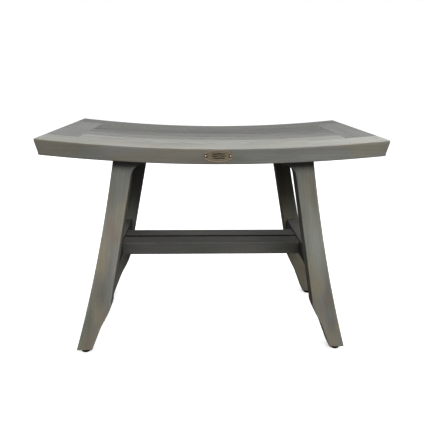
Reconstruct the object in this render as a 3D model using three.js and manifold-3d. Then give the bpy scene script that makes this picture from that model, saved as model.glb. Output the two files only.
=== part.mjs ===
// Bath transfer bench: a low teak bench with a dished slatted seat on two splayed leg frames.
// Millimetres. +X along the seat, +Y to the back, +Z up. The origin is on the floor, under the middle.

import * as THREE from 'three';
import { mergeVertices } from 'three/addons/utils/BufferGeometryUtils.js';
import Module from 'manifold-3d';

const wasm = await Module();
wasm.setup();

// ---------------------------------------------------------------- driving dimensions

const gap = 0.3; // clearance left between any two pieces that meet

const seat = {
  length: 610,
  depth: 305,
  cornerHeight: 467,
  dish: 16.3, // how far the middle of the seat lies below its ends
  thickness: 27.5, // frame members
  memberWidth: 57, // frame members, seen from above
  undercut: 3.8, // how far the end faces lean in at the bottom
  slatCount: 5,
  slatGap: 4,
  slatThickness: 18,
};

const leg = {
  thickness: 33,
  inset: 22.1, // front or back face of a leg, in from the seat's edge
  soleHeight: 10,
  soleInner: 258.7,
  soleOuter: 292,
  headInner: 122.3,
  headOuter: 180.5,
  topSlope: 0.203, // outward lean of the outer edge where it meets the seat
};

// The hollow under a leg's head, on its inner edge.
const cove = { centreX: 122.3, centreZ: 389.5, radius: 29.5, endAngle: 0.2 };

// Where a leg's inner edge swings out, as the four [x, z] points of a Bezier curve.
const belly = [
  [209.3, 126],
  [208.5, 108.5],
  [233, 74.5],
  [237, 62.5],
];

const topRail = { innerX: 134, thickness: 26, bottomZ: 404.5 };
const sideRail = { innerX: 197, thickness: 25, bottomZ: 192.5, topZ: 224.5 };
const stretcher = { width: 34, split: 6, bottomZ: 192.5, topZ: 221 };
const batten = { width: 40, thickness: 9 };

const topTenon = { centreX: 150, width: 10, bottomZ: 413, topZ: 421, length: 12 };
const sideTenon = { centreX: 209.5, width: 10, bottomZ: 199, topZ: 219.5, length: 20 };
const stretcherTenon = { width: 24, height: 12, length: 10 };
const slatTongue = { depth: 5, height: 8, length: 10 }; // depth is below the slat's top
const cornerTenon = { x: 276, width: 30, height: 8, length: 24 };
const headDowel = { x: 155, y: 117, radius: 4, bottomZ: 407, topZ: 443 };

const foot = {
  padRadius: 11,
  padHeight: 10,
  padSoleChamfer: 1,
  padWallTop: 4, // above this the pad narrows
  padTopRadius: 9,
  padTopChamfer: 0.8,
  socketRadius: 6.8, // in the pad, round the stud's flange
  flangeRadius: 6.4,
  flangeBottom: 3.1,
  flangeTop: 5.3,
  studRadius: 3,
  studTop: 32,
  insertRadius: 5,
  insertTop: 24,
  collarRadius: 7,
  collarThickness: 1.5,
};

const battenScrew = { radius: 1.8, headRadius: 3.6, headHeight: 2, recess: 1, length: 19 };
const railScrew = { radius: 2.2, headRadius: 4.4, headHeight: 2.6, recess: 6, length: 38 };
const stretcherScrew = { radius: 2.3, headRadius: 4.4, headHeight: 2.6, recess: 5.5, length: 54 };
const plug = { radius: 4.9, thickness: 4.6, sunk: 0.1 };

const badge = { x: 5.5, z: 438, length: 53, height: 22, thickness: 1.2, recess: 1, pinSpacing: 43 };
const badgePin = { radius: 0.9, headRadius: 1.8, headHeight: 0.8, length: 8 };

const overrun = 1; // how far a cutter runs on past the face it opens
const curveStep = 26; // longest chord of the seat's arc
const smallSides = 12; // facets round a pilot hole
const boreSides = 20;
const turnedSides = 24;

// ---------------------------------------------------------------- derived places

const halfLength = seat.length / 2;
const halfDepth = seat.depth / 2;
const dishRadius = (halfLength ** 2 + seat.dish ** 2) / (2 * seat.dish);
const memberY = halfDepth - seat.memberWidth / 2; // middle of the front and back rails
const innerY = halfDepth - seat.memberWidth; // inner edge of the front and back rails
const endInnerX = halfLength - seat.memberWidth; // inner edge of the end rails
const slatShoulder = endInnerX - gap;
const slatWidth = (2 * innerY - (seat.slatCount + 1) * seat.slatGap) / seat.slatCount;
const legY = halfDepth - leg.inset - leg.thickness / 2; // middle of a leg's thickness
const betweenLegs = legY - leg.thickness / 2 - gap; // half length of the rails between two legs
const footX = (leg.soleInner + leg.soleOuter) / 2;
const stretcherY = (stretcher.split + stretcher.width) / 2;
const stretcherMidZ = (stretcher.bottomZ + stretcher.topZ) / 2;
const sideRailOuterX = sideRail.innerX + sideRail.thickness;
const railScrewX = topRail.innerX + topRail.thickness / 2;
const railScrewZ = topRail.bottomZ + railScrew.recess; // underside of the screw's head
const battenScrewZ = slatUndersideAt(0) - gap - batten.thickness + battenScrew.recess;
const cornerTenonZ = topAt(cornerTenon.x) - seat.thickness / 2;
const badgeBackY = -halfDepth + badge.recess - gap;
const badgePinX = [badge.x - badge.pinSpacing / 2, badge.x + badge.pinSpacing / 2];

const slatCentres = [];
for (let i = 0; i < seat.slatCount; i++) {
  slatCentres.push((i - (seat.slatCount - 1) / 2) * (slatWidth + seat.slatGap));
}

/** Height of the seat's top at x: an arc, lowest in the middle. */
function topAt(x) {
  return seat.cornerHeight - seat.dish + dishRadius - Math.sqrt(dishRadius ** 2 - x ** 2);
}

/** Height of the seat frame's underside at x. */
function undersideAt(x) {
  return topAt(x) - seat.thickness;
}

/** Height of a slat's underside at x. */
function slatUndersideAt(x) {
  return topAt(x) - seat.slatThickness;
}

// ---------------------------------------------------------------- materials

const teak = new THREE.MeshStandardMaterial({ color: 0x76736a, roughness: 0.8, metalness: 0 });
const blackPlastic = new THREE.MeshStandardMaterial({ color: 0x161616, roughness: 0.55, metalness: 0 });
const steel = new THREE.MeshStandardMaterial({ color: 0xb5b5b2, roughness: 0.35, metalness: 1 });
const brass = new THREE.MeshStandardMaterial({ color: 0x9a7148, roughness: 0.4, metalness: 1 });

// ---------------------------------------------------------------- geometry helpers

/** A closed three.js geometry as a manifold solid. */
function solidOf(geometry) {
  const bare = geometry.clone();
  bare.deleteAttribute('normal');
  bare.deleteAttribute('uv');
  const merged = mergeVertices(bare, 1e-4);
  return new wasm.Manifold(
    new wasm.Mesh({
      numProp: 3,
      vertProperties: new Float32Array(merged.attributes.position.array),
      triVerts: new Uint32Array(merged.index.array),
    }),
  );
}

/** A manifold solid as a three.js geometry with flat facets. */
function geometryOf(solid) {
  const mesh = solid.getMesh();
  const geometry = new THREE.BufferGeometry();
  geometry.setAttribute('position', new THREE.BufferAttribute(mesh.vertProperties, mesh.numProp));
  geometry.setIndex(new THREE.BufferAttribute(mesh.triVerts, 1));
  geometry.computeVertexNormals();
  return geometry;
}

/** The body with the extras joined on and then the cutters taken away. */
function carve(body, cutters, extras = []) {
  let solid = solidOf(body);
  for (const extra of extras) solid = solid.add(solidOf(extra));
  for (const cutter of cutters) solid = solid.subtract(solidOf(cutter));
  return geometryOf(solid);
}

/** A box between two corners. */
function block(low, high) {
  const size = high.map((value, i) => value - low[i]);
  const middle = high.map((value, i) => (value + low[i]) / 2);
  return new THREE.BoxGeometry(...size).translate(...middle);
}

/** The same box, larger by the clearance on every side. */
function pocket(low, high) {
  return block(
    low.map((value) => value - gap),
    high.map((value) => value + gap),
  );
}

/** A round bar or hole along Z. */
function barZ(radius, bottom, top, x = 0, y = 0, sides = boreSides) {
  const bar = new THREE.CylinderGeometry(radius, radius, top - bottom, sides).rotateX(Math.PI / 2);
  return bar.translate(x, y, (top + bottom) / 2);
}

/** A round hole along Y, centred on y. */
function holeY(radius, length, x, y, z) {
  return new THREE.CylinderGeometry(radius, radius, length, smallSides).translate(x, y, z);
}

/** A round bar or hole along X. */
function barX(radius, from, to, y, z, sides = boreSides) {
  const bar = new THREE.CylinderGeometry(radius, radius, Math.abs(to - from), sides);
  return bar.rotateZ(Math.PI / 2).translate((from + to) / 2, y, z);
}

/** A turned piece about Z, from [radius, height] pairs. */
function turned(profile, sides = turnedSides) {
  const points = profile.map(([radius, height]) => new THREE.Vector2(radius, height));
  return new THREE.LatheGeometry(points, sides).rotateX(Math.PI / 2);
}

/** Points along a height function, from one x to another. */
function along(height, from, to) {
  const count = Math.max(1, Math.ceil(Math.abs(to - from) / curveStep));
  const points = [];
  for (let i = 0; i <= count; i++) {
    const x = from + ((to - from) * i) / count;
    points.push(new THREE.Vector2(x, height(x)));
  }
  return points;
}

/** A board of one outline in the XZ plane, with its thickness along Y about y = 0. */
function board(points, thickness, side = 1) {
  const outline = points.map((point) => new THREE.Vector2(point.x * side, point.y));
  const geometry = new THREE.ExtrudeGeometry(new THREE.Shape(outline), {
    depth: thickness,
    bevelEnabled: false,
  });
  return geometry.rotateX(Math.PI / 2).translate(0, thickness / 2, 0);
}

/** A named mesh at a place. */
function piece(name, geometry, material, x = 0, y = 0, z = 0) {
  const mesh = new THREE.Mesh(geometry, material);
  mesh.name = name;
  mesh.position.set(x, y, z);
  return mesh;
}

const sides = [
  { name: 'left', sign: -1 },
  { name: 'right', sign: 1 },
];
const rows = [
  { name: 'front', sign: -1 },
  { name: 'back', sign: 1 },
];

// ---------------------------------------------------------------- seat

/** Half of a loose tenon's mortise: it opens on the edge at y and runs towards y = 0. */
function cornerMortise(x, y) {
  const end = y - (Math.sign(y) * cornerTenon.length) / 2;
  const { width, height } = cornerTenon;
  return pocket(
    [x - width / 2, Math.min(y, end), cornerTenonZ - height / 2],
    [x + width / 2, Math.max(y, end), cornerTenonZ + height / 2],
  );
}

/** The front or back rail, which runs the whole length of the seat. */
function longRail(row) {
  const bottomX = halfLength - seat.undercut;
  const outline = [
    ...along(topAt, -halfLength, halfLength),
    ...along(undersideAt, bottomX, -bottomX),
  ];
  const edge = (-row.sign * seat.memberWidth) / 2;
  const cutters = [];
  for (const { sign } of sides) {
    const y = row.sign * (headDowel.y - memberY);
    cutters.push(barZ(headDowel.radius + gap, 0, headDowel.topZ + gap, sign * headDowel.x, y));
    cutters.push(cornerMortise(sign * cornerTenon.x, edge));
  }
  if (row.name === 'front') cutters.push(...badgeCutters());
  return carve(board(outline, seat.memberWidth), cutters);
}

/** An end rail, grooved on its inner edge for the slats' tongues. */
function endRail(side) {
  const grooveTop = topAt(endInnerX) - slatTongue.depth + gap;
  const grooveBottom = grooveTop - slatTongue.height - 2 * gap;
  const grooveX = endInnerX + slatTongue.length + gap;
  const outline = [
    ...along(topAt, endInnerX, halfLength),
    ...along(undersideAt, halfLength - seat.undercut, endInnerX),
    new THREE.Vector2(endInnerX, grooveBottom),
    new THREE.Vector2(grooveX, grooveBottom),
    new THREE.Vector2(grooveX, grooveTop),
    new THREE.Vector2(endInnerX, grooveTop),
  ];
  const length = 2 * (innerY - gap);
  const cutters = rows.map(({ sign }) => cornerMortise(side.sign * cornerTenon.x, (sign * length) / 2));
  return carve(board(outline, length, side.sign), cutters);
}

/** The hole in a slat for an upright screw, from below up to the screw's point. */
function pilotHole(screwSize, headZ, x) {
  return barZ(screwSize.radius + gap, 0, headZ + screwSize.length + gap, x, 0, smallSides);
}

/** The clearance hole and counterbore for an upright screw in a board whose underside is at bottom. */
function screwWay(screwSize, bottom, x, y) {
  const headTop = bottom + screwSize.recess + screwSize.headHeight + gap;
  return [
    barZ(screwSize.radius + gap, 0, seat.cornerHeight, x, y, smallSides),
    barZ(screwSize.headRadius + gap, 0, headTop, x, y),
  ];
}

/** A slat: dished like the frame, with a tongue at each end. */
function slat(index) {
  const tongueTop = topAt(endInnerX) - slatTongue.depth;
  const tongueBottom = tongueTop - slatTongue.height;
  const tipX = slatShoulder + slatTongue.length;
  const outline = [
    ...along(topAt, -slatShoulder, slatShoulder),
    new THREE.Vector2(slatShoulder, tongueTop),
    new THREE.Vector2(tipX, tongueTop),
    new THREE.Vector2(tipX, tongueBottom),
    new THREE.Vector2(slatShoulder, tongueBottom),
    ...along(slatUndersideAt, slatShoulder, -slatShoulder),
    new THREE.Vector2(-slatShoulder, tongueBottom),
    new THREE.Vector2(-tipX, tongueBottom),
    new THREE.Vector2(-tipX, tongueTop),
    new THREE.Vector2(-slatShoulder, tongueTop),
  ];
  const cutters = [pilotHole(battenScrew, battenScrewZ, 0)];
  const outermost = index === 0 || index === seat.slatCount - 1;
  if (outermost) {
    for (const { sign } of sides) cutters.push(pilotHole(railScrew, railScrewZ, sign * railScrewX));
  }
  return carve(board(outline, slatWidth), cutters);
}

/** The cross batten under the middle of the slats, drilled and countersunk for its screws. */
function crossBatten() {
  const top = slatUndersideAt(0) - gap;
  const bottom = top - batten.thickness;
  const length = innerY - gap;
  const body = block([-batten.width / 2, -length, bottom], [batten.width / 2, length, top]);
  return carve(body, slatCentres.flatMap((y) => screwWay(battenScrew, bottom, 0, y)));
}

/** A loose tenon that ties a long rail to an end rail. */
function looseTenon() {
  const { width, height, length } = cornerTenon;
  return new THREE.BoxGeometry(width, length, height);
}

// ---------------------------------------------------------------- fasteners

/** A wood screw along +Z with its head at z = 0 and a socket in the head. */
function screw({ radius, headRadius, headHeight, length }) {
  const socket = headRadius * 0.4;
  return turned(
    [
      [0, headHeight * 0.6],
      [socket, headHeight * 0.6],
      [socket, 0],
      [headRadius * 0.8, 0],
      [headRadius, headHeight * 0.35],
      [headRadius, headHeight * 0.6],
      [radius, headHeight],
      [radius, length - 2 * radius],
      [0, length],
    ],
    16,
  );
}

// ---------------------------------------------------------------- leg frames

/** Outline of a leg on the +X side, clockwise from the inner corner of its sole. */
function legOutline() {
  const { soleHeight, soleInner, soleOuter, headInner, headOuter, topSlope } = leg;
  const headTop = undersideAt(headOuter) - gap;
  const halfRise = (headTop - soleHeight) / 2;

  const outer = new THREE.QuadraticBezierCurve(
    new THREE.Vector2(soleOuter, soleHeight),
    new THREE.Vector2(headOuter + topSlope * halfRise, soleHeight + halfRise),
    new THREE.Vector2(headOuter, headTop),
  );
  const hollow = new THREE.EllipseCurve(
    cove.centreX,
    cove.centreZ,
    cove.radius,
    cove.radius,
    Math.PI / 2,
    cove.endAngle,
    true,
  );
  const swell = new THREE.CubicBezierCurve(...belly.map(([x, z]) => new THREE.Vector2(x, z)));
  const headEdge = (x) => undersideAt(x) - gap;
  return [
    new THREE.Vector2(soleInner, soleHeight),
    ...outer.getPoints(16),
    ...along(headEdge, headOuter, headInner).slice(1),
    ...hollow.getPoints(8),
    ...swell.getPoints(10),
  ];
}

/** A leg, with its mortises, dowel hole and bore for the levelling foot; y = 0 is mid-thickness. */
function legBoard(side, row) {
  const inward = -row.sign;
  const face = (inward * leg.thickness) / 2;
  const mortise = (tenon) => {
    const depth = face - inward * tenon.length;
    const x = side.sign * tenon.centreX;
    return pocket(
      [x - tenon.width / 2, Math.min(depth, face), tenon.bottomZ],
      [x + tenon.width / 2, Math.max(depth, face), tenon.topZ],
    );
  };
  const x = side.sign * footX;
  const dowelX = side.sign * headDowel.x;
  const dowelY = row.sign * (headDowel.y - legY);
  const collarTop = leg.soleHeight + foot.collarThickness + 2 * gap;
  const cutters = [
    mortise(topTenon),
    mortise(sideTenon),
    barZ(headDowel.radius + gap, headDowel.bottomZ - gap, seat.cornerHeight, dowelX, dowelY),
    barZ(foot.collarRadius + gap, 0, collarTop, x, 0, turnedSides),
    barZ(foot.insertRadius + gap, 0, foot.insertTop + gap, x, 0, turnedSides),
    barZ(foot.studRadius + 2 * gap, 0, foot.studTop + gap, x, 0, turnedSides),
  ];
  return carve(board(legOutline(), leg.thickness, side.sign), cutters);
}

/** The rail that ties the heads of a front and a back leg, raised between the seat rails. */
function topRailBoard(side) {
  const outerX = topRail.innerX + topRail.thickness;
  const under = (height) => [
    ...along((x) => height(x) - gap, topRail.innerX, outerX),
    new THREE.Vector2(outerX, topRail.bottomZ),
    new THREE.Vector2(topRail.innerX, topRail.bottomZ),
  ];
  const lower = board(under(undersideAt), 2 * betweenLegs, side.sign);
  const raised = board(under(slatUndersideAt), 2 * (innerY - gap), side.sign);
  const reach = betweenLegs + topTenon.length;
  const tenon = block(
    [side.sign * topTenon.centreX - topTenon.width / 2, -reach, topTenon.bottomZ],
    [side.sign * topTenon.centreX + topTenon.width / 2, reach, topTenon.topZ],
  );
  const cutters = [slatCentres[0], slatCentres[seat.slatCount - 1]].flatMap((y) =>
    screwWay(railScrew, topRail.bottomZ, side.sign * railScrewX, y),
  );
  return carve(lower, cutters, [raised, tenon]);
}

/** The lower rail between a front and a back leg, mortised for the stretchers. */
function sideRailBoard(side) {
  const { sign } = side;
  const middleX = (sign * (sideRail.innerX + sideRailOuterX)) / 2;
  const body = block(
    [middleX - sideRail.thickness / 2, -betweenLegs, sideRail.bottomZ],
    [middleX + sideRail.thickness / 2, betweenLegs, sideRail.topZ],
  );
  const reach = betweenLegs + sideTenon.length;
  const tenon = block(
    [sign * sideTenon.centreX - sideTenon.width / 2, -reach, sideTenon.bottomZ],
    [sign * sideTenon.centreX + sideTenon.width / 2, reach, sideTenon.topZ],
  );
  const { width, height, length } = stretcherTenon;
  const mortiseX = sign * (sideRail.innerX + length / 2);
  const shankFrom = sign * sideRail.innerX;
  const headSeat = sign * (sideRailOuterX - stretcherScrew.recess - stretcherScrew.headHeight - gap);
  const outside = sign * (sideRailOuterX + overrun);
  const cutters = rows.flatMap((row) => {
    const y = row.sign * stretcherY;
    return [
      pocket(
        [mortiseX - length / 2, y - width / 2, stretcherMidZ - height / 2],
        [mortiseX + length / 2, y + width / 2, stretcherMidZ + height / 2],
      ),
      barX(stretcherScrew.radius + gap, shankFrom, outside, y, stretcherMidZ, smallSides),
      barX(plug.radius + gap, headSeat, outside, y, stretcherMidZ),
    ];
  });
  return carve(body, cutters, [tenon]);
}

/** A long stretcher, with a stub tenon and a pilot hole at each end; y = 0 is its middle. */
function stretcherBoard() {
  const shoulder = sideRail.innerX - gap;
  const tip = shoulder + stretcherTenon.length;
  const body = block(
    [-shoulder, -stretcher.width / 2, stretcher.bottomZ],
    [shoulder, stretcher.width / 2, stretcher.topZ],
  );
  const tenon = block(
    [-tip, -stretcherTenon.width / 2, stretcherMidZ - stretcherTenon.height / 2],
    [tip, stretcherTenon.width / 2, stretcherMidZ + stretcherTenon.height / 2],
  );
  const point = sideRailOuterX - stretcherScrew.recess - stretcherScrew.length - gap;
  const radius = stretcherScrew.radius + gap;
  const cutters = sides.map(({ sign }) =>
    barX(radius, sign * point, sign * (tip + overrun), 0, stretcherMidZ, smallSides),
  );
  return carve(body, cutters, [tenon]);
}

// ---------------------------------------------------------------- levelling feet

/** The black pad, hollowed to hold the stud's flange so that the stud turns in it. */
function footPad() {
  const top = foot.padHeight - gap;
  const neck = foot.studRadius + gap;
  const socketBottom = foot.flangeBottom - gap;
  const socketTop = foot.flangeTop + gap;
  return turned(
    [
      [0, 0],
      [foot.padRadius - foot.padSoleChamfer, 0],
      [foot.padRadius, foot.padSoleChamfer],
      [foot.padRadius, foot.padWallTop],
      [foot.padTopRadius + foot.padTopChamfer, top - foot.padTopChamfer],
      [foot.padTopRadius, top],
      [neck, top],
      [neck, socketTop],
      [foot.socketRadius, socketTop],
      [foot.socketRadius, socketBottom],
      [0, socketBottom],
    ],
    32,
  );
}

/** The threaded stud, plain in these solids, with the flange that the pad holds. */
function footStud() {
  return turned([
    [0, foot.flangeBottom],
    [foot.flangeRadius, foot.flangeBottom],
    [foot.flangeRadius, foot.flangeTop],
    [foot.studRadius, foot.flangeTop],
    [foot.studRadius, foot.studTop - 1],
    [foot.studRadius - 1, foot.studTop],
    [0, foot.studTop],
  ]);
}

/** The threaded insert, pressed into the end of the leg. */
function footInsert() {
  const bottom = leg.soleHeight + gap;
  const bore = foot.studRadius + gap;
  return turned([
    [bore, bottom],
    [foot.collarRadius, bottom],
    [foot.collarRadius, bottom + foot.collarThickness],
    [foot.insertRadius, bottom + foot.collarThickness],
    [foot.insertRadius, foot.insertTop],
    [bore, foot.insertTop],
    [bore, bottom],
  ]);
}

// ---------------------------------------------------------------- badge

/** An oval plate in the XZ plane, from y = 0 towards the front. */
function oval(length, height, thickness) {
  const shape = new THREE.Shape().absellipse(0, 0, length / 2, height / 2, 0, 2 * Math.PI);
  const plate = new THREE.ExtrudeGeometry(shape, {
    depth: thickness,
    bevelEnabled: false,
    curveSegments: 40,
  });
  return plate.rotateX(Math.PI / 2);
}

/** The recess for the badge and the holes for its pins, in the front rail's own frame. */
function badgeCutters() {
  const face = -seat.memberWidth / 2;
  const recess = oval(badge.length + 2 * gap, badge.height + 2 * gap, badge.recess + overrun);
  recess.translate(badge.x, face + badge.recess, badge.z);
  const radius = badgePin.radius + gap;
  return [recess, ...badgePinX.map((x) => holeY(radius, 2 * badgePin.length, x, face, badge.z))];
}

/** The oval badge, drilled for its two pins; y = 0 is its back. */
function badgePlate() {
  const radius = badgePin.radius + gap;
  const holes = badgePinX.map((x) => holeY(radius, badgePin.length, x - badge.x, 0, 0));
  return carve(oval(badge.length, badge.height, badge.thickness), holes);
}

/** A round-headed pin along +Y, with the underside of its head at y = 0. */
function badgeNail() {
  const { radius, headRadius, headHeight, length } = badgePin;
  const nail = turned(
    [
      [0, -headHeight],
      [headRadius * 0.6, -headHeight * 0.8],
      [headRadius, 0],
      [radius, 0],
      [radius, length - 2],
      [0, length],
    ],
    16,
  );
  return nail.rotateX(-Math.PI / 2);
}

// ---------------------------------------------------------------- assembly

const bench = new THREE.Group();

const seatGroup = new THREE.Group();
bench.add(seatGroup);
for (const row of rows) {
  seatGroup.add(piece(`seat_${row.name}_rail`, longRail(row), teak, 0, row.sign * memberY));
}
for (const side of sides) {
  seatGroup.add(piece(`seat_${side.name}_end_rail`, endRail(side), teak));
  for (const row of rows) {
    const x = side.sign * cornerTenon.x;
    const y = row.sign * (innerY - gap / 2);
    const name = `seat_corner_tenon_${row.name}_${side.name}`;
    seatGroup.add(piece(name, looseTenon(), teak, x, y, cornerTenonZ));
  }
}
slatCentres.forEach((y, i) => {
  seatGroup.add(piece(`seat_slat_${i + 1}`, slat(i), teak, 0, y));
  seatGroup.add(piece(`batten_screw_${i + 1}`, screw(battenScrew), steel, 0, y, battenScrewZ));
});
seatGroup.add(piece('seat_centre_batten', crossBatten(), teak));

seatGroup.add(piece('badge_plate', badgePlate(), brass, badge.x, badgeBackY, badge.z));
badgePinX.forEach((x, i) => {
  const y = badgeBackY - badge.thickness - gap;
  seatGroup.add(piece(`badge_pin_${i + 1}`, badgeNail(), brass, x, y, badge.z));
});

for (const side of sides) {
  const frame = new THREE.Group();
  bench.add(frame);
  frame.add(piece(`top_rail_${side.name}`, topRailBoard(side), teak));
  frame.add(piece(`side_rail_${side.name}`, sideRailBoard(side), teak));
  for (const row of rows) {
    const corner = `${row.name}_${side.name}`;
    const y = row.sign * legY;
    frame.add(piece(`leg_${corner}`, legBoard(side, row), teak, 0, y));

    const dowel = barZ(headDowel.radius, headDowel.bottomZ, headDowel.topZ);
    const dowelX = side.sign * headDowel.x;
    const dowelY = row.sign * headDowel.y;
    frame.add(piece(`head_dowel_${corner}`, dowel, teak, dowelX, dowelY));

    const uprightX = side.sign * railScrewX;
    const uprightY = row.sign * slatCentres[seat.slatCount - 1];
    const upright = screw(railScrew);
    frame.add(piece(`top_rail_screw_${corner}`, upright, steel, uprightX, uprightY, railScrewZ));

    const lyingX = side.sign * (sideRailOuterX - stretcherScrew.recess);
    const lyingY = row.sign * stretcherY;
    const lying = screw(stretcherScrew).rotateY((-side.sign * Math.PI) / 2);
    frame.add(piece(`stretcher_screw_${corner}`, lying, steel, lyingX, lyingY, stretcherMidZ));

    const plugInner = side.sign * (sideRailOuterX - plug.sunk - plug.thickness);
    const plugOuter = side.sign * (sideRailOuterX - plug.sunk);
    const cap = barX(plug.radius, plugInner, plugOuter, lyingY, stretcherMidZ, turnedSides);
    frame.add(piece(`screw_plug_${corner}`, cap, teak));

    const footGroup = new THREE.Group();
    footGroup.position.set(side.sign * footX, y, 0);
    footGroup.add(piece(`foot_pad_${corner}`, footPad(), blackPlastic));
    footGroup.add(piece(`foot_stud_${corner}`, footStud(), steel));
    footGroup.add(piece(`foot_insert_${corner}`, footInsert(), brass));
    frame.add(footGroup);
  }
}

for (const row of rows) {
  bench.add(piece(`stretcher_${row.name}`, stretcherBoard(), teak, 0, row.sign * stretcherY));
}

export default bench;
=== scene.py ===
"""The looks of a teak bath bench: rounded boards with weathered grain, a metal badge and levelling feet.

Metres, +X along the seat, +Y to the back, +Z up, as in the CAD frame. Every place comes from a CAD
node's box or from the named sizes below.
"""

import math
import random

import bmesh
import bpy
from mathutils import Matrix, Vector


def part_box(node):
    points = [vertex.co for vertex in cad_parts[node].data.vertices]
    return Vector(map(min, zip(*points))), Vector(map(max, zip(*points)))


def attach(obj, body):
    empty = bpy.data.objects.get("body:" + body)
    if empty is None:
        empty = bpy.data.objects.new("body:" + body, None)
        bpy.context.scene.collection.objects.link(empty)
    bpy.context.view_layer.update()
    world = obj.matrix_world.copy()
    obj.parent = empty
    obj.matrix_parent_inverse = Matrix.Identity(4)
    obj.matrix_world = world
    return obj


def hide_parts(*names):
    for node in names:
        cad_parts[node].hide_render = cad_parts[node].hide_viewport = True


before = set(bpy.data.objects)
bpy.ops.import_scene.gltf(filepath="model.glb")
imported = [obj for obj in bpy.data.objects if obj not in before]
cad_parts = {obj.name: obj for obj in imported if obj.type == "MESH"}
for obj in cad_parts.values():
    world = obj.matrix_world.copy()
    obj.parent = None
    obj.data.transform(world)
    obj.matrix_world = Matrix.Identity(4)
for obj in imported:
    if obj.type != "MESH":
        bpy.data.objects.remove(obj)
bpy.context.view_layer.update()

# ---------------- sizes

GAP = 0.0003  # clearance between pieces that meet
SEAT_THICKNESS = 0.0275
SLAT_THICKNESS = 0.018
END_LEAN = 0.0038  # how far the seat's end faces lean in at the bottom

COVE_CENTRE = Vector((0.1223, 0.3895))  # x and z of the hollow under a leg's head, on the +X side
COVE_RADIUS = 0.0295
COVE_START = 0.2  # angle from X where the hollow leaves the straight edge
SOLE_INNER = 0.2587
HEAD_OUTER = 0.1805
OUTER_SLOPE = 0.203  # lean of a leg's outer edge where it meets the seat
BELLY_START = Vector((0.237, 0.0625))  # lower end of the swelling on the inner edge
BELLY_END = Vector((0.2093, 0.126))

FOOT_SCREW_PITCH = 0.001

SIDES = {"left": -1, "right": 1}
ROWS = {"front": -1, "back": 1}
CORNERS = [(row, side) for row in ROWS for side in SIDES]
SLATS = range(1, 6)

front_rail_low, front_rail_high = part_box("seat_front_rail")
HALF_LENGTH = front_rail_high.x
CORNER_HEIGHT = front_rail_high.z
DISH = CORNER_HEIGHT - front_rail_low.z - SEAT_THICKNESS
DISH_RADIUS = (HALF_LENGTH**2 + DISH**2) / (2 * DISH)


def top_at(x):
    """Height of the seat's top at x: an arc, lowest in the middle."""
    return CORNER_HEIGHT - DISH + DISH_RADIUS - math.sqrt(DISH_RADIUS**2 - x**2)


def underside_at(x):
    """Height of the seat frame's underside at x."""
    return top_at(x) - SEAT_THICKNESS


# ---------------- shader helpers


class Shader:
    """A new material's or world's nodes. Inputs are numbers, colours or other nodes' outputs."""

    def __init__(self, name, store=None):
        store = bpy.data.materials if store is None else store
        self.owner = store.new(name)
        self.owner.use_nodes = True
        self.tree = self.owner.node_tree
        self.surface = self.tree.nodes.get("Principled BSDF")

    def node(self, kind, output=0, inputs=(), **settings):
        """Adds a node, sets its settings and inputs, and returns one output if it has any."""
        made = self.tree.nodes.new(kind)
        for key, value in settings.items():
            setattr(made, key, value)
        for key, value in dict(inputs).items():
            self.feed(made.inputs[key], value)
        return made.outputs[output] if made.outputs else None

    def feed(self, socket, value):
        if isinstance(value, bpy.types.NodeSocket):
            self.tree.links.new(value, socket)
        else:
            socket.default_value = value

    def attribute(self, name, output="Fac"):
        return self.node("ShaderNodeAttribute", output, attribute_name=name)

    def math(self, operation, first, second=0.0, clamp=False):
        inputs = {0: first, 1: second}
        return self.node("ShaderNodeMath", inputs=inputs, operation=operation, use_clamp=clamp)

    def times(self, first, second):
        return self.math("MULTIPLY", first, second)

    def vector(self, operation, first, second=(0, 0, 0), output=0):
        return self.node("ShaderNodeVectorMath", output, {0: first, 1: second}, operation=operation)

    def noise(self, place, stretch, detail=3.0, roughness=0.5, output=0):
        """Noise with its own frequency, per metre, along each axis."""
        place = self.vector("MULTIPLY", place, stretch)
        inputs = {"Vector": place, "Scale": 1.0, "Detail": detail, "Roughness": roughness}
        return self.node("ShaderNodeTexNoise", output, inputs)

    def ramp(self, value, low, high, to_low=0.0, to_high=1.0):
        """A smooth step of a value from one range to another."""
        inputs = {"Value": value, "From Min": low, "From Max": high, "To Min": to_low, "To Max": to_high}
        return self.node("ShaderNodeMapRange", inputs=inputs, interpolation_type="SMOOTHSTEP")

    def blend(self, factor, first, second, mode="MIX"):
        """Two colours mixed by a factor."""
        made = self.tree.nodes.new("ShaderNodeMix")
        made.data_type = "RGBA"
        made.blend_type = mode
        self.feed(made.inputs["Factor"], factor)
        self.feed(made.inputs["A"], first)
        self.feed(made.inputs["B"], second)
        return made.outputs["Result"]

    def tint(self, base, mask, strength, over):
        """A colour laid over the base where the mask says, by no more than strength."""
        return self.blend(self.times(mask, strength), base, over)

    def bump(self, height, distance, strength):
        inputs = {"Height": height, "Distance": distance, "Strength": strength}
        return self.node("ShaderNodeBump", inputs=inputs)

    def finish(self, **inputs):
        """Feeds the surface's sockets, named with underscores for spaces, and returns the material."""
        for key, value in inputs.items():
            self.feed(self.surface.inputs[key.replace("_", " ")], value)
        return self.owner


def colour(red, green, blue):
    """A linear colour from 0-255 screen values."""

    def linear(value):
        value /= 255
        return value / 12.92 if value <= 0.04045 else ((value + 0.055) / 1.055) ** 2.4

    return (linear(red), linear(green), linear(blue), 1.0)


# ---------------- materials

RING_WIDTH = 0.0055  # growth rings across the board


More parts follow.
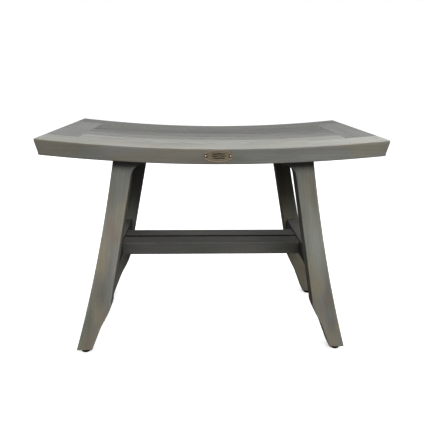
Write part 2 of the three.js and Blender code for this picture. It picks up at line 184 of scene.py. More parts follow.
def weathered_teak():
    """Grey weathered teak. It reads where each point lies in its log from the attribute grain."""
    s = Shader("weathered_teak")
    grain = s.attribute("grain", "Vector")
    # tone's lightness also carries the painted light and shade of some boards
    tone = s.attribute("tone", "Vector")
    # wear is 1 on the arrises, for rubbed wear and a painted highlight
    wear = s.attribute("wear")
    lightness = s.node("ShaderNodeSeparateXYZ", "X", {0: tone})
    warmth = s.node("ShaderNodeSeparateXYZ", "Y", {0: tone})

    # growth rings round the pith, wandering slowly along the board and clear only in places
    def drift(stretch, reach):
        """A shift across the grain, of up to half of reach each way."""
        cloud = s.noise(grain, stretch, detail=2.0, output=1)
        return s.vector("MULTIPLY", s.vector("SUBTRACT", cloud, (0.5, 0.5, 0.5)), (0, reach, reach))

    wander = drift((2.2, 9, 9), 0.02)
    ripple = drift((14, 60, 60), 0.0026)
    bent = s.vector("ADD", s.vector("ADD", grain, wander), ripple)
    radius = s.vector("LENGTH", s.vector("MULTIPLY", bent, (0, 1, 1)), output=1)
    ring = s.math("FRACT", s.math("DIVIDE", radius, RING_WIDTH))
    early = s.ramp(ring, 0.0, 0.22)
    late = s.ramp(ring, 0.4, 1.0)
    ring_dark = s.math("ADD", s.math("SUBTRACT", 1.0, early), s.times(late, 0.8), clamp=True)
    ring_dark = s.times(ring_dark, s.ramp(s.noise(grain, (5, 45, 45)), 0.38, 0.68, 0.15, 1.0))

    # fibres, streaks and pores, all drawn out along the grain
    fibre = s.noise(bent, (16, 620, 620), detail=4.0, roughness=0.65)
    streak = s.noise(bent, (3.2, 42, 42), detail=4.0, roughness=0.6)
    pores = s.noise(bent, (75, 1500, 1500), detail=2.0, roughness=0.6)
    pore = s.ramp(pores, 0.62, 0.72)

    # stains: silvered, green-grey, beige and bare brown patches
    def patch(shift, stretch, low, high):
        return s.ramp(s.noise(s.vector("ADD", grain, shift), stretch), low, high)

    silver = patch((0.0, 0.0, 0.0), (3.5, 14, 14), 0.42, 0.64)
    green = patch((3.1, 1.7, 0.4), (7, 20, 20), 0.46, 0.66)
    beige = patch((1.3, 5.1, 8.2), (8, 24, 24), 0.46, 0.66)
    brown = patch((7.7, 0.3, 2.9), (9, 26, 26), 0.52, 0.7)

    base = s.blend(s.ramp(streak, 0.3, 0.7), colour(130, 128, 121), colour(153, 153, 147))
    base = s.tint(base, silver, 0.5, colour(172, 173, 169))
    base = s.tint(base, green, 0.6, colour(127, 133, 114))
    base = s.tint(base, beige, s.times(warmth, 0.75), colour(164, 154, 130))
    base = s.tint(base, brown, s.times(warmth, 0.6), colour(147, 127, 115))
    cool = s.math("SUBTRACT", 1.0, warmth, clamp=True)
    base = s.tint(base, cool, 0.65, colour(141, 142, 142))
    base = s.tint(base, ring_dark, 0.13, colour(84, 81, 74))
    base = s.blend(s.ramp(fibre, 0.35, 0.7, 0.11, 0.0), base, colour(90, 87, 80))
    base = s.tint(base, pore, 0.28, colour(62, 59, 54))
    # arrises lighter: partly real rubbed wear, partly a painted highlight where the arrises catch the
    # light
    rubbed_and_highlit = s.ramp(s.noise(grain, (25, 90, 90)), 0.3, 0.65, 0.0, 0.26)
    base = s.tint(base, wear, rubbed_and_highlit, colour(178, 177, 169))
    shade = s.node("ShaderNodeCombineColor", inputs={0: lightness, 1: lightness, 2: lightness})
    base = s.blend(1.0, base, shade, "MULTIPLY")

    relief = s.times(fibre, 0.5)
    relief = s.math("SUBTRACT", relief, s.times(pore, 0.6))
    relief = s.math("SUBTRACT", relief, s.times(ring_dark, 0.3))
    normal = s.bump(relief, 0.0004, 0.4)
    roughness = s.ramp(fibre, 0.3, 0.7, 0.76, 0.62)
    return s.finish(Base_Color=base, Roughness=roughness, Specular_IOR_Level=0.25, Normal=normal)


def plain_wood(name, tint):
    """Fresh wood for the hidden tenons and dowels, with its grain along each piece's own length."""
    s = Shader(name)
    place = s.node("ShaderNodeTexCoord", "Object")
    fibre = s.noise(place, (90, 700, 700))
    base = s.blend(s.ramp(fibre, 0.3, 0.7), colour(*(value * 0.8 for value in tint)), colour(*tint))
    return s.finish(Base_Color=base, Roughness=0.7, Normal=s.bump(fibre, 0.0002, 0.4))


def moulded_black():
    """Black foot plastic with a fine moulded texture, dusty and scuffed on its edges."""
    s = Shader("moulded_black")
    place = s.node("ShaderNodeTexCoord", "Object")
    speckle = s.noise(place, (2600, 2600, 2600), detail=2.0)
    scuff = s.ramp(s.noise(place, (160, 160, 520), detail=4.0, roughness=0.7), 0.5, 0.72)
    base = s.tint(colour(17, 17, 17), scuff, 0.5, colour(44, 43, 41))
    roughness = s.ramp(scuff, 0.0, 1.0, 0.42, 0.68)
    return s.finish(Base_Color=base, Roughness=roughness, Normal=s.bump(speckle, 0.00008, 0.5))


def metal(name, light, dark, rough):
    """Metal with cloudy tarnish and fine turning or drawing marks."""
    s = Shader(name)
    place = s.node("ShaderNodeTexCoord", "Object")
    cloud = s.ramp(s.noise(place, (90, 90, 90), detail=5.0, roughness=0.65), 0.35, 0.68)
    drawn = s.noise(place, (700, 700, 3600), detail=2.0)
    base = s.tint(colour(*light), cloud, 0.5, colour(*dark))
    roughness = s.ramp(cloud, 0.0, 1.0, rough, rough + 0.2)
    normal = s.bump(drawn, 0.00004, 0.4)
    return s.finish(Base_Color=base, Metallic=1.0, Roughness=roughness, Normal=normal)


def badge_metal(name, hollow, bare):
    """Aged brass, bare where it is raised and dull in its hollows, as the attribute wear says."""
    s = Shader(name)
    place = s.node("ShaderNodeTexCoord", "Object")
    raised = s.attribute("wear")
    cloud = s.noise(place, (160, 160, 160), detail=5.0, roughness=0.65)
    drawn = s.noise(place, (120, 900, 2600), detail=2.0)
    cloudy = s.times(s.math("SUBTRACT", cloud, 0.5), 0.5)
    polish = s.ramp(s.math("ADD", raised, cloudy), 0.2, 0.85)
    base = s.blend(polish, colour(*hollow), colour(*bare))
    base = s.blend(s.ramp(cloud, 0.5, 0.75, 0.0, 0.4), base, colour(128, 124, 98))
    roughness = s.ramp(polish, 0.0, 1.0, 0.62, 0.4)
    normal = s.bump(drawn, 0.00005, 0.5)
    return s.finish(Base_Color=base, Metallic=0.45, Roughness=roughness, Normal=normal)


TEAK = weathered_teak()
JOINERY = plain_wood("fresh_teak", (176, 132, 84))
FOOT_PLASTIC = moulded_black()
STEEL = metal("stainless_steel", (198, 199, 196), (142, 140, 134), 0.26)
INSERT_BRASS = metal("insert_brass", (201, 158, 92), (132, 96, 52), 0.32)
BADGE_METAL = badge_metal("badge_metal", (66, 60, 44), (194, 176, 150))
PIN_METAL = badge_metal("pin_metal", (176, 160, 140), (218, 205, 186))

# ---------------- mesh helpers

ARRIS = 0.0018  # radius of the seat's arrises
END_ARRIS = 0.0009  # at the ends of the seat
RAIL_ARRIS = 0.0013  # on the lower rails
BATTEN_ARRIS = 0.0012
TIGHT = 0.0002  # radius where two boards meet end to side
LEG_ARRIS = 0.0022
ARC_STEPS = 3  # facets in half of a rounded arris
WOOD_ANGLE, METAL_ANGLE = 38, 30  # degrees over which an edge stays sharp
SUPPORT = 0.003  # from the end of an arris to the loop that keeps its face flat


def smooth_step(value, low, high):
    """0 below low, 1 above high and a smooth rise between them."""
    share = max(0.0, min(1.0, (value - low) / (high - low)))
    return share * share * (3 - 2 * share)


def near_edge(radius):
    """Offsets from an edge: even steps round its arris, then the loop that holds the face flat."""
    arc = [radius * (1 - math.tan(math.radians(45 * k / ARC_STEPS))) for k in range(ARC_STEPS, -1, -1)]
    return arc + [radius + SUPPORT]


def marks(radii, count):
    """Places across a board as (fraction, offset) pairs, with an arris at each end."""
    low = [(0, offset) for offset in near_edge(radii[0])]
    middle = [(k / (count + 1), 0) for k in range(1, count + 1)]
    high = [(1, -offset) for offset in reversed(near_edge(radii[1]))]
    return low + middle + high


def steps(radii, counts):
    """Places across a board's three axes."""
    return [marks(pair, count) for pair, count in zip(radii, counts)]


def rounded(point, radii):
    """A point on a block's skin, moved in where two or three faces meet to make a round arris."""
    pulls = []
    for (fraction, offset), radius in zip(point, radii):
        at_end = fraction in (0, 1) and abs(offset) < radius[fraction]
        pulls.append(1 - abs(offset) / radius[fraction] if at_end else 0)
    size = math.hypot(*pulls)
    if size <= 1:
        return point
    drawn_in = []
    for (fraction, offset), radius, pull in zip(point, radii, pulls):
        if pull:
            inset = radius[fraction] * (1 - pull / size)
            offset = -inset if fraction else inset
        drawn_in.append((fraction, offset))
    return drawn_in


def arris_wear_and_highlight(point, radii):
    """1 on an arris, falling to 0 where its face begins: real rubbed wear and a painted highlight. A
    tight joint's edge gets neither.
    """
    distances = []
    for (fraction, offset), radius in zip(point, radii):
        worn = fraction in (0, 1) and radius[fraction] > TIGHT
        distances.append(abs(offset) - radius[fraction] if worn else 1.0)
    second = sorted(distances)[1]
    return max(0.0, min(1.0, 1 - second / SUPPORT))


def block(places, radii, place):
    """The skin of a block of steps in quads with round arrises, each point put where place says."""
    mesh = bmesh.new()
    # wear marks the arrises, which the teak lightens as rubbed wear and a painted highlight
    wear = mesh.verts.layers.float.new("wear")
    last = [len(row) - 1 for row in places]
    made = {}

    def vert(index):
        if index not in made:
            point = [row[i] for row, i in zip(places, index)]
            made[index] = mesh.verts.new(place(*rounded(point, radii)))
            made[index][wear] = arris_wear_and_highlight(point, radii)
        return made[index]

    for axis in range(3):
        first, second = [other for other in range(3) if other != axis]
        for end in (0, last[axis]):
            for i in range(last[first]):
                for j in range(last[second]):
                    corners = []
                    for di, dj in ((0, 0), (1, 0), (1, 1), (0, 1)):
                        index = [0, 0, 0]
                        index[axis], index[first], index[second] = end, i + di, j + dj
                        corners.append(vert(tuple(index)))
                    mesh.faces.new(corners)
    bmesh.ops.recalc_face_normals(mesh, faces=mesh.faces)
    return mesh


def on_circle(radius, k, count):
    """The X and Y of one of count points round the axis."""
    angle = 2 * math.pi * k / count
    return radius * math.cos(angle), radius * math.sin(angle)


def bridge(mesh, rings):
    """Quads from each closed ring of points to the next."""
    for low, high in zip(rings, rings[1:]):
        for k in range(len(low)):
            after = (k + 1) % len(low)
            mesh.faces.new((low[k], low[after], high[after], high[k]))


def turned(profile, segments=48):
    """A bmesh turned about Z from (radius, height) pairs; a radius of 0 is a point on the axis."""
    mesh = bmesh.new()
    rings = []
    for radius, height in profile:
        if radius == 0:
            rings.append([mesh.verts.new((0, 0, height))])
            continue
        circle = [on_circle(radius, k, segments) for k in range(segments)]
        rings.append([mesh.verts.new((x, y, height)) for x, y in circle])
    pairs = list(zip(rings, rings[1:]))
    if len(rings[0]) > 1:
        pairs.append((rings[-1], rings[0]))
    for low, high in pairs:
        for k in range(segments):
            turns = ((low, k), (low, k + 1), (high, k + 1), (high, k))
            corners = list(dict.fromkeys(ring[i % len(ring)] for ring, i in turns))
            if len(corners) > 2:
                mesh.faces.new(corners)
    bmesh.ops.recalc_face_normals(mesh, faces=mesh.faces)
    return mesh


def link_object(name, data):
    made = bpy.data.objects.new(name, data)
    bpy.context.scene.collection.objects.link(made)
    return made


def new_object(name, mesh, material):
    """An object from a bmesh, which is freed."""
    data = bpy.data.meshes.new(name)
    mesh.to_mesh(data)
    mesh.free()
    data.materials.append(material)
    return link_object(name, data)


def cut(piece, cutters):
    """Takes the cutter bmeshes away from a piece."""
    for mesh in cutters:
        cutter = new_object("cutter", mesh, TEAK)
        modifier = piece.modifiers.new("cut", "BOOLEAN")
        modifier.operation = "DIFFERENCE"
        modifier.solver = "EXACT"
        modifier.object = cutter
        bpy.context.view_layer.update()
        graph = bpy.context.evaluated_depsgraph_get()
        result = bpy.data.meshes.new_from_object(piece.evaluated_get(graph))
        piece.modifiers.clear()
        piece.data = result
        bpy.data.objects.remove(cutter)


def moved(mesh, matrix):
    bmesh.ops.transform(mesh, matrix=matrix, verts=mesh.verts)
    return mesh


def hand_over(piece, angle, body, slot, *nodes):
    """Shades a piece smooth, but for edges over an angle, and puts it on a CAD body for CAD nodes."""
    piece.data.shade_smooth()
    piece.data.set_sharp_from_angle(angle=math.radians(angle))
    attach(piece, body)
    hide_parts(*nodes)


# ---------------- boards

chance = random.Random(7)  # for each board's place in its log


def set_grain(piece, along, across, tone):
    """Stores where each point lies in the log that its board was sawn from, and its tone there.

    tone is a lightness and a warmth, or a function of a point that gives them; some of these functions
    add painted light and shade.
    """
    along, across = Vector(along).normalized(), Vector(across).normalized()
    depth = along.cross(across)
    shift = Vector((chance.uniform(0, 9), chance.uniform(-0.03, 0.03), chance.uniform(0.045, 0.1)))
    data = piece.data
    middle = sum((vertex.co for vertex in data.vertices), Vector()) / len(data.vertices)
    places, tones = [], []
    for vertex in data.vertices:
        out = vertex.co - middle
        places.extend((out.dot(along) + shift.x, out.dot(across) + shift.y, out.dot(depth) + shift.z))
        lightness, warmth = tone(vertex.co) if callable(tone) else tone
        tones.extend((lightness, warmth, 0.0))
    for name, values in (("grain", places), ("tone", tones)):
        data.attributes.new(name, "FLOAT_VECTOR", "POINT").data.foreach_set("vector", values)


def straight_place(low, high):
    """Places for a block with straight sides between two corners."""

    def place(*point):
        return [low[i] + point[i][0] * (high[i] - low[i]) + point[i][1] for i in range(3)]

    return place


def dished_place(low, high, thickness, outer_ends=()):
    """Places for a board that follows the seat's dish. outer_ends are the X ends that lean in below."""

    def place(x, y, z):
        at_x = low.x + x[0] * (high.x - low.x) + x[1]
        for sign in outer_ends:
            share = x[0] if sign > 0 else 1 - x[0]
            at_x -= sign * END_LEAN * (1 - z[0]) * share
        at_y = low.y + y[0] * (high.y - low.y) + y[1]
        at_z = top_at(at_x) - thickness * (1 - z[0]) + z[1]
        return (at_x, at_y, at_z)

    return place


def board(name, node, places, radii, place, grain, tone, cutters=()):
    """A finished board in the place of its CAD node. grain is the directions along and across it."""
    piece = new_object(name, block(places, radii, place), TEAK)
    cut(piece, cutters)
    set_grain(piece, *grain, tone)
    hand_over(piece, WOOD_ANGLE, "bench", "teak", node)


X, Y, Z = (1, 0, 0), (0, 1, 0), (0, 0, 1)


def hole(radius, start, end, axis, centre):
    """A round cutter between two places along X or Z."""
    mesh = turned([(0, start), (radius, start), (radius, end), (0, end)])
    if axis == "X":
        mesh = moved(mesh, Matrix.Rotation(math.pi / 2, 4, "Y"))
    return moved(mesh, Matrix.Translation(centre))


def front_rail_painted_light(at):
    """The front rail carries painted light: paler towards the right, and its front face darker and
    warmer than its top as painted shade.
    """
    # painted shade on the front face; the lightness also rises to the right as painted light
    front = 1 - smooth_step(at.y, front_rail_low.y, front_rail_low.y + ARRIS)
    return ((1.1 + 0.45 * at.x) * (1 - 0.22 * front), 0.45 + 0.3 * front)


def seat_rails():
    """The front and back rails, the whole length of the seat."""
    radii = ((END_ARRIS, END_ARRIS), (ARRIS, ARRIS), (ARRIS, ARRIS))
    tones = {"front": front_rail_painted_light, "back": (0.54, 0.15)}
    for row in ROWS:
        node = f"seat_{row}_rail"
        low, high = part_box(node)
        place = dished_place(low, high, SEAT_THICKNESS, outer_ends=(-1, 1))
        cutters = [badge_recess()] if row == "front" else []
        board(f"{row}_rail", node, steps(radii, (56, 3, 1)), radii, place, (X, Y), tones[row], cutters)


def end_rails():
    """The rails across the ends of the seat."""
    for side, sign in SIDES.items():
        node = f"seat_{side}_end_rail"
        low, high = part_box(node)
        radii = ((TIGHT, END_ARRIS)[::sign], (TIGHT, TIGHT), (ARRIS, ARRIS))
        place = dished_place(low, high, SEAT_THICKNESS, outer_ends=(sign,))
        tone = (0.7 + 0.02 * sign, 0.1)
        board(f"{side}_end_rail", node, steps(radii, (4, 16, 1)), radii, place, (Y, X), tone)


def seat_slats():
    """The slats between the end rails, the first at the front. Their tongues are hidden in grooves."""
    inner_low, inner_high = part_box("seat_left_end_rail")[1].x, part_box("seat_right_end_rail")[0].x
    radii = ((TIGHT, TIGHT), (ARRIS, ARRIS), (ARRIS, ARRIS))
    lightness = (1.06, 0.72, 0.58, 0.46, 0.5)
    for i in SLATS:
        node = f"seat_slat_{i}"
        low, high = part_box(node)
        low.x, high.x = inner_low + GAP, inner_high - GAP
        place = dished_place(low, high, SLAT_THICKNESS)
        tone = (lightness[i - 1], 0.2)
        board(f"slat_{i}", node, steps(radii, (46, 2, 0)), radii, place, (X, Y), tone)


def straight_board(name, node, low, high, grain, tone, arris, tight_axis, counts, cutters=()):
    """A board with flat sides. tight_axis is the axis whose two ends meet other boards."""
    radii = [(arris, arris)] * 3
    radii[tight_axis] = (TIGHT, TIGHT)
    board(name, node, steps(radii, counts), radii, straight_place(low, high), grain, tone, cutters)


def between_legs():
    """The Y of the two leg faces that look at each other."""
    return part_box("leg_front_left")[1].y + GAP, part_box("leg_back_left")[0].y - GAP


PLUG_HOLE_RADIUS = 0.0052
PLUG_HOLE_DEPTH = 0.0055


def side_rails():
    """The lower rails from front leg to back leg, bored for the screws that hold the stretchers."""
    y_low, y_high = between_legs()
    for side, sign in SIDES.items():
        node = f"side_rail_{side}"
        low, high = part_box(node)
        low.y, high.y = y_low, y_high
        outer = high.x if sign > 0 else low.x
        cutters = []
        for row in ROWS:
            plug_low, plug_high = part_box(f"screw_plug_{row}_{side}")
            middle = (plug_low + plug_high) / 2
            start, end = outer - PLUG_HOLE_DEPTH, outer + PLUG_HOLE_DEPTH
            cutters.append(hole(PLUG_HOLE_RADIUS, start, end, "X", (0, middle.y, middle.z)))
        straight_board(f"{side}_side_rail", node, low, high, (Y, X), (0.42, 0.6), RAIL_ARRIS,
                       tight_axis=1, counts=(1, 14, 1), cutters=cutters)


def stretcher_painted_shade(at):
    """Stretchers carry painted shade: their tops are darker than their outer faces, and darker still in
    the slot between them.
    """
    low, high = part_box("stretcher_back")
    out = abs(at.y)
    # painted shade in the slot between the two stretchers, and on the tops against the outer faces
    slot = 1 - smooth_step(out, low.y + 0.0006, low.y + RAIL_ARRIS)
    side = smooth_step(out, high.y - RAIL_ARRIS, high.y)
    return (0.31 + 0.25 * side - 0.27 * slot, 0.5)


def stretchers():
    """The pair of long stretchers between the side rails."""
    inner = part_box("side_rail_right")[0].x - GAP
    for row in ROWS:
        node = f"stretcher_{row}"
        low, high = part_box(node)
        low.x, high.x = -inner, inner
        straight_board(f"{row}_stretcher", node, low, high, (X, Y), stretcher_painted_shade, RAIL_ARRIS,
                       tight_axis=0, counts=(30, 2, 1))


COUNTERBORE_RADIUS = {"batten_screw": 0.0039, "top_rail_screw": 0.0047}
COUNTERBORE_DEPTH = 0.0033  # above the bottom of a screw's head


def counterbores(kind, names, bottom):
    """Cutters round the heads of screws driven up from a board's underside."""
    below = bottom - 0.005
    made = []
    for name in names:
        low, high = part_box(f"{kind}_{name}")
        middle = (low + high) / 2
        centre = (middle.x, middle.y, 0)
        made.append(hole(COUNTERBORE_RADIUS[kind], below, low.z + COUNTERBORE_DEPTH, "Z", centre))
    return made


def centre_batten():
    """The batten under the middle of the slats."""
    node = "seat_centre_batten"
    low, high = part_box(node)
    cutters = counterbores("batten_screw", SLATS, low.z)
    straight_board("centre_batten", node, low, high, (Y, X), (0.78, 0.6), BATTEN_ARRIS,
                   tight_axis=1, counts=(2, 12, 0), cutters=cutters)


def top_rails():
    """The rails between the leg heads, stepped to rise between the seat's own rails."""
    y_low, y_high = between_legs()
    seat_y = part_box("seat_left_end_rail")[1].y
    step = 0.0006  # height over which the side steps in
    for side in SIDES:
        node = f"top_rail_{side}"
        low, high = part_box(node)
        middle = (low.x + high.x) / 2
        low.y, high.y = y_low, y_high
        shoulder = high.z - (underside_at(middle) - GAP)
        radii = ((ARRIS, ARRIS), (TIGHT, TIGHT), (ARRIS, TIGHT))
        heights = marks(radii[2], 0)
        heights = sorted(heights + [(1, -shoulder), (1, -shoulder - step)],
                         key=lambda pair: pair[0] * (high.z - low.z) + pair[1])
        square = straight_place(low, high)

        def place(x, y, z, square=square, edge=high.z - shoulder):
            at = square(x, y, z)
            if at[2] > edge - step / 2:
                at[1] = max(-seat_y, min(seat_y, at[1]))
            return at

        places = [marks(radii[0], 1), marks(radii[1], 12), heights]
        corners = [f"{row}_{side}" for row in ROWS]
        cutters = counterbores("top_rail_screw", corners, low.z)
        board(f"{side}_top_rail", node, places, radii, place, (Y, X), (0.8, 0.6), cutters)


# ---------------- legs

BELLY_STEPS, COVE_STEPS, OUTER_STEPS, TOP_STEPS = 24, 24, 60, 12  # pieces in a leg's curves
STATION_STEP = 0.0045  # between the rulings along a leg
FULL_WIDTH = 0.014  # a ruling shorter than this draws its arrises in
NOSE_ARRIS_SHARE = 0.1  # of an arris, where the head tapers to its nose

# the bore in the sole: room for the insert's collar, for its body and for the stud's end
COLLAR_BORE_RADIUS, COLLAR_BORE_DEPTH = 0.0073, 0.0021
INSERT_BORE_RADIUS, INSERT_BORE_TOP = 0.0053, 0.0243
STUD_BORE_RADIUS, STUD_BORE_TOP = 0.0036, 0.0323


class Path:
    """A line through points in the XZ plane, read by the distance along it."""

    def __init__(self, points):
        self.points = points
        self.reach = [0.0]
        for start, end in zip(points, points[1:]):
            self.reach.append(self.reach[-1] + (end - start).length)
        self.length = self.reach[-1]

    def at(self, distance):
        distance = min(max(distance, 0.0), self.length)
        for i in range(1, len(self.points)):
            if distance <= self.reach[i]:
                span = self.reach[i] - self.reach[i - 1]
                return self.points[i - 1].lerp(self.points[i], (distance - self.reach[i - 1]) / span)
        return self.points[-1]


def curve(control, count):
    """Points on a Bezier curve of any degree."""
    points = []
    for k in range(count + 1):
        left = [point.copy() for point in control]
        while len(left) > 1:
            left = [a.lerp(b, k / count) for a, b in zip(left, left[1:])]
        points.append(left[0])
    return points


def leg_paths(sole):
    """A leg's inner edge from sole to nose, its outer edge and top, and distances that match on them."""
    head_top = underside_at(HEAD_OUTER) - GAP
    half_rise = (head_top - sole) / 2
    rising = BELLY_START + Vector((-0.004, 0.012))
    settling = BELLY_END + Vector((-0.0008, -0.0175))
    belly = curve([BELLY_START, rising, settling, BELLY_END], BELLY_STEPS)
    cove = []
    for k in range(COVE_STEPS + 1):
        angle = COVE_START + (math.pi / 2 - COVE_START) * k / COVE_STEPS
        cove.append(COVE_CENTRE + COVE_RADIUS * Vector((math.cos(angle), math.sin(angle))))
    inner = Path([Vector((SOLE_INNER, sole))] + belly + cove)
    toe = Vector((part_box("leg_front_right")[1].x, sole))
    waist = Vector((HEAD_OUTER + OUTER_SLOPE * half_rise, sole + half_rise))
    outer_edge = curve([toe, waist, Vector((HEAD_OUTER, head_top))], OUTER_STEPS)
    nose_x = COVE_CENTRE.x
    top_edge = []
    for k in range(1, TOP_STEPS + 1):
        x = HEAD_OUTER + (nose_x - HEAD_OUTER) * k / TOP_STEPS
        top_edge.append(Vector((x, underside_at(x) - GAP)))
    outer = Path(outer_edge + top_edge)
    cove_reach = inner.reach[len(belly) + 1]
    corner_reach = outer.reach[len(outer_edge) - 1]
    corner_match = cove_reach + 0.38 * (inner.length - cove_reach)
    matches = [
        (0.0, 0.0),
        (cove_reach, corner_reach - 0.024),
        (corner_match, corner_reach),
        (inner.length, outer.length),
    ]
    return inner, outer, matches


def matched(matches, distance):
    """The distance on the second path that goes with one on the first."""
    for (a, b), (c, d) in zip(matches, matches[1:]):
        if distance <= c:
            return b + (d - b) * (distance - a) / (c - a)
    return matches[-1][1]


def leg_tone_and_seat_shade(row, side):
    """Legs are palest at half height. Painted shade darkens their tops under the seat, and the back legs
    are darker throughout as painted shade.
    """
    # the second number darkens each leg's top under the seat as painted shade; the back legs also start
    # darker, as painted shade
    start, painted_seat_shade = {"front": (1.16, 0.1), "back": (0.9, 0.4)}[row]

    def tone(at):
        pale = 0.28 * smooth_step(at.z, 0.14, 0.27) if row == "front" else 0.0
        lightness = start + pale - (painted_seat_shade + pale) * smooth_step(at.z, 0.27, 0.4)
        return (lightness - 0.07 * SIDES[side], 1.0)

    return tone


def foot_bore(corner, sole):
    """The cutter for a levelling foot's bore."""
    low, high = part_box(f"foot_pad_{corner}")
    bores = [
        (COLLAR_BORE_RADIUS, sole + COLLAR_BORE_DEPTH),
        (INSERT_BORE_RADIUS, INSERT_BORE_TOP),
        (STUD_BORE_RADIUS, STUD_BORE_TOP),
    ]
    profile = [(0, 0)]
    for radius, top in bores:
        profile += [(radius, profile[-1][1]), (radius, top)]
    profile.append((0, STUD_BORE_TOP))
    return moved(turned(profile), Matrix.Translation(((low.x + high.x) / 2, (low.y + high.y) / 2, 0)))


def legs():
    """The four curved legs, each bored in its sole for the levelling foot."""
    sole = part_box("leg_front_right")[0].z
    inner, outer, matches = leg_paths(sole)
    radii = ((0.001, 0.0008), (LEG_ARRIS, LEG_ARRIS), (LEG_ARRIS, LEG_ARRIS))
    stations = [k * STATION_STEP for k in range(2, int((inner.length - 0.004) / STATION_STEP))]
    stations += [reach for reach, _ in matches[1:-1]]
    along = sorted([(0, reach) for reach in near_edge(radii[0][0]) + stations])
    along += [(1, -offset) for offset in reversed(near_edge(radii[0][1])[:-1])]
    head_start = matches[2][0]
    for row, side in CORNERS:
        sign = SIDES[side]
        node = f"leg_{row}_{side}"
        low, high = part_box(node)

        def place(a, b, c, sign=sign, low=low, high=high):
            reach = a[0] * inner.length + a[1]
            start, end = inner.at(reach), outer.at(matched(matches, reach))
            width = (end - start).length
            offset = b[1] * min(1.0, width / FULL_WIDTH)
            if b[0] == 1 and reach > head_start:
                offset *= NOSE_ARRIS_SHARE
            at = start + (end - start) * (b[0] + offset / width)
            return (sign * at.x, low.y + c[0] * (high.y - low.y) + c[1], at.y)

        places = [along, marks(radii[1], 2), marks(radii[2], 1)]
        cutters = [foot_bore(f"{row}_{side}", sole)]
        lean = Vector((sign * (SOLE_INNER - HEAD_OUTER), 0, sole - underside_at(HEAD_OUTER)))
        board(f"{row}_{side}_leg", node, places, radii, place, (lean, Y), leg_tone_and_seat_shade(row, side), cutters)


def plugs():
    """The wooden plugs over the stretcher screws, slightly crowned, their grain across the rail's."""
    chamfer, crown = 0.0004, 0.0001
    for row, side in CORNERS:
        node = f"screw_plug_{row}_{side}"
        sign = SIDES[side]
        low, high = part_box(node)
        middle = (low + high) / 2
        radius = (high.z - low.z) / 2
        depth = high.x - low.x
        profile = [
            (0, 0), (radius, 0), (radius, depth - chamfer),
            (radius - chamfer, depth - crown), (radius * 0.6, depth), (0, depth),
        ]
        mesh = moved(turned(profile), Matrix.Rotation(sign * math.pi / 2, 4, "Y"))
        start = low.x if sign > 0 else high.x
        mesh = moved(mesh, Matrix.Translation((start, middle.y, middle.z)))
        mesh.verts.layers.float.new("wear")
        piece = new_object(f"{row}_{side}_plug", mesh, TEAK)
        set_grain(piece, Z, Y, (1.05, 1.0))
        hand_over(piece, WOOD_ANGLE, "bench", "teak", node)


# ---------------- badge

BADGE_RECESS = 0.001
BADGE_RELIEF = 0.0005  # depth of its pattern
BADGE_RINGS, BADGE_SPOKES = 44, 144
RIPPLE_PITCH = 0.0036  # between its three engraved lines
RIPPLE_SWING = 0.0003  # how far they wave each way
RIPPLE_RATE = 450  # radians a metre
RIPPLE_HALF = 0.0135  # half of the middle line's length
PIN_DOME = 0.0008
PIN_SHANK_RADIUS = 0.0009
PIN_POINT = 0.002  # length of a pin's tapered end


def oval_cylinder(length, height, start, end, centre):
    """An oval cutter along Y."""
    mesh = turned([(0, start), (0.5, start), (0.5, end), (0, end)], 96)
    mesh = moved(mesh, Matrix.Rotation(-math.pi / 2, 4, "X"))
    return moved(mesh, Matrix.Translation(centre) @ Matrix.Diagonal((length, 1, height, 1)))


def badge_recess():
    """The cutter for the badge's recess in the front rail."""
    low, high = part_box("badge_plate")
    middle = (low + high) / 2
    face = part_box("seat_front_rail")[0].y
    length, height = high.x - low.x + 2 * GAP, high.z - low.z + 2 * GAP
    return oval_cylinder(length, height, -0.01, BADGE_RECESS, (middle.x, face, middle.z))


def badge_height(x, z, edge):
    """Relief of the badge, 0 to 0.9: a raised rim, grooves round the pins and three engraved ripples."""
    rim = smooth_step(edge, 0.86, 0.9) * (1 - 0.75 * smooth_step(edge, 0.96, 1.0))
    pin_x = (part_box("badge_pin_2")[0].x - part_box("badge_pin_1")[0].x) / 2
    engraved = 0.0
    for sign in (-1, 1):
        reach = math.hypot(x - sign * pin_x, z)
        groove = smooth_step(reach, 0.0019, 0.0023) * (1 - smooth_step(reach, 0.0030, 0.0036))
        engraved = max(engraved, groove)
    for k in (-1, 0, 1):
        line = k * RIPPLE_PITCH + RIPPLE_SWING * math.sin(x * RIPPLE_RATE + k * 0.8)
        half = RIPPLE_HALF - 0.002 * abs(k)
        fade = 1 - smooth_step(abs(x - 0.001), half - 0.003, half)
        engraved = max(engraved, fade * (1 - smooth_step(abs(z - line), 0.0008, 0.0014)))
    return 0.6 - 0.6 * engraved + 0.3 * rim


def badge():
    """The oval metal badge with a generic pattern."""
    low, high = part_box("badge_plate")
    middle = (low + high) / 2
    half_x, half_z = (high.x - low.x) / 2, (high.z - low.z) / 2
    mesh = bmesh.new()
    wear = mesh.verts.layers.float.new("wear")

    def point(x, z, edge):
        height = badge_height(x, z, edge)
        vertex = mesh.verts.new((middle.x + x, low.y + BADGE_RELIEF * (1 - height), middle.z + z))
        vertex[wear] = height
        return vertex

    rings = []
    for i in range(1, BADGE_RINGS + 1):
        edge = i / BADGE_RINGS
        circle = [on_circle(edge, k, BADGE_SPOKES) for k in range(BADGE_SPOKES)]
        rings.append([point(x * half_x, z * half_z, edge) for x, z in circle])
    centre = point(0, 0, 0)
    back = [mesh.verts.new((vertex.co.x, high.y, vertex.co.z)) for vertex in rings[-1]]
    rings.append(back)
    bridge(mesh, rings)
    for k in range(BADGE_SPOKES):
        mesh.faces.new((centre, rings[0][(k + 1) % BADGE_SPOKES], rings[0][k]))
    mesh.faces.new(back)
    bmesh.ops.recalc_face_normals(mesh, faces=mesh.faces)
    hand_over(new_object("badge", mesh, BADGE_METAL), 50, "bench", "badge_brass", "badge_plate")


